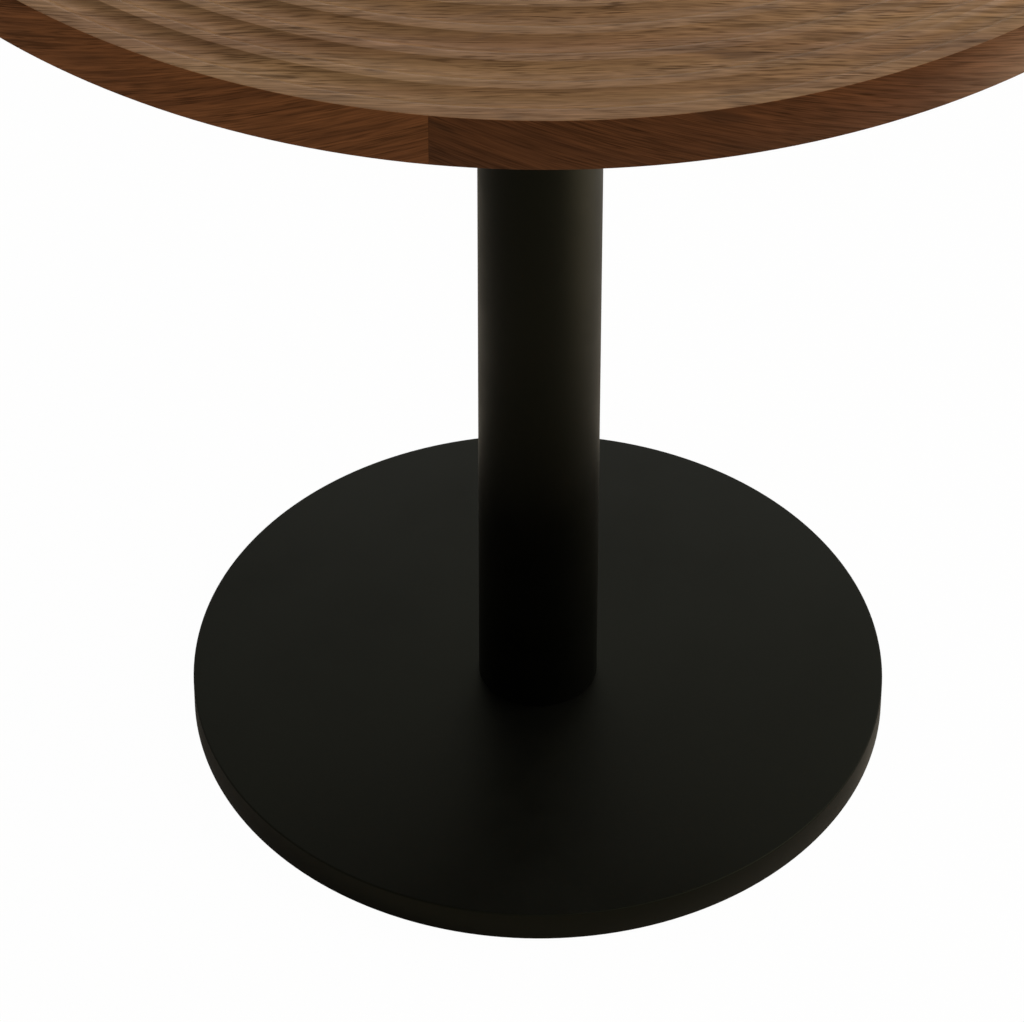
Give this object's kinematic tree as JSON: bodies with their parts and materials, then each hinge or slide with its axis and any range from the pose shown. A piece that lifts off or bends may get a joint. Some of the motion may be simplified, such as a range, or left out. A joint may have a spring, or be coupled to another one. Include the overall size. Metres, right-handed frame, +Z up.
{
  "type": "round dining table",
  "caption": "Round pedestal dining table: wooden top with concentric turned grooves on a black steel column and flat disc base, with levelling glides.",
  "frame": {"origin": "on the floor, below the middle of the column", "axes": "+Z up along the column's axis; -Y towards the front, the side that the camera sees; the top's grain runs along X"},
  "size_m": [0.8, 0.8, 0.77],
  "materials": {
    "walnut": "satin oiled walnut",
    "walnut_edge": "satin oiled walnut",
    "black_steel": "matt black powder coat",
    "zinc_steel": "zinc plated",
    "brass": "plain",
    "black_plastic": "matt moulded nylon"
  },
  "bodies": {
    "table": {"top_panel": "walnut", "edge_band_left": "walnut_edge", "edge_band_right": "walnut_edge", "top_plate": "black_steel", "column_tube": "black_steel", "upper_spigot": "black_steel", "lower_spigot": "black_steel", "base_plate": "black_steel", "tie_rod": "zinc_steel", "rod_nut_top": "zinc_steel", "rod_nut_bottom": "zinc_steel", "rod_washer_top": "zinc_steel", "rod_washer_bottom": "zinc_steel", "top_insert_1": "brass", "top_insert_2": "brass", "top_insert_3": "brass", "top_insert_4": "brass", "top_insert_5": "brass", "top_insert_6": "brass", "top_screw_1": "zinc_steel", "top_screw_2": "zinc_steel", "top_screw_3": "zinc_steel", "top_screw_4": "zinc_steel", "top_screw_5": "zinc_steel", "top_screw_6": "zinc_steel"},
    "glide_pad_1": {"glide_pad_1": "black_plastic"},
    "glide_stud_1": {"glide_stud_1": "zinc_steel"},
    "glide_pad_2": {"glide_pad_2": "black_plastic"},
    "glide_stud_2": {"glide_stud_2": "zinc_steel"},
    "glide_pad_3": {"glide_pad_3": "black_plastic"},
    "glide_stud_3": {"glide_stud_3": "zinc_steel"},
    "glide_pad_4": {"glide_pad_4": "black_plastic"},
    "glide_stud_4": {"glide_stud_4": "zinc_steel"}
  },
  "joints": [
    {"name": "glide_1_drop", "type": "slide", "parent": "table", "child": "glide_pad_1", "axis": [0, 0, -1], "range_m": [0, 0.005]},
    {"name": "glide_1_turn", "type": "hinge", "parent": "glide_pad_1", "child": "glide_stud_1", "pos_m": [0.12021, 0.12021, 0.003], "axis": [0, 0, -1], "range_deg": [0, 1440]},
    {"name": "glide_2_drop", "type": "slide", "parent": "table", "child": "glide_pad_2", "axis": [0, 0, -1], "range_m": [0, 0.005]},
    {"name": "glide_2_turn", "type": "hinge", "parent": "glide_pad_2", "child": "glide_stud_2", "pos_m": [-0.12021, 0.12021, 0.003], "axis": [0, 0, -1], "range_deg": [0, 1440]},
    {"name": "glide_3_drop", "type": "slide", "parent": "table", "child": "glide_pad_3", "axis": [0, 0, -1], "range_m": [0, 0.005]},
    {"name": "glide_3_turn", "type": "hinge", "parent": "glide_pad_3", "child": "glide_stud_3", "pos_m": [-0.12021, -0.12021, 0.003], "axis": [0, 0, -1], "range_deg": [0, 1440]},
    {"name": "glide_4_drop", "type": "slide", "parent": "table", "child": "glide_pad_4", "axis": [0, 0, -1], "range_m": [0, 0.005]},
    {"name": "glide_4_turn", "type": "hinge", "parent": "glide_pad_4", "child": "glide_stud_4", "pos_m": [0.12021, -0.12021, 0.003], "axis": [0, 0, -1], "range_deg": [0, 1440]}
  ],
  "couplings": [
    {"joint": "glide_1_drop", "follows": "glide_1_turn", "m_per_rad": 0.00019894},
    {"joint": "glide_2_drop", "follows": "glide_2_turn", "m_per_rad": 0.00019894},
    {"joint": "glide_3_drop", "follows": "glide_3_turn", "m_per_rad": 0.00019894},
    {"joint": "glide_4_drop", "follows": "glide_4_turn", "m_per_rad": 0.00019894}
  ]
}
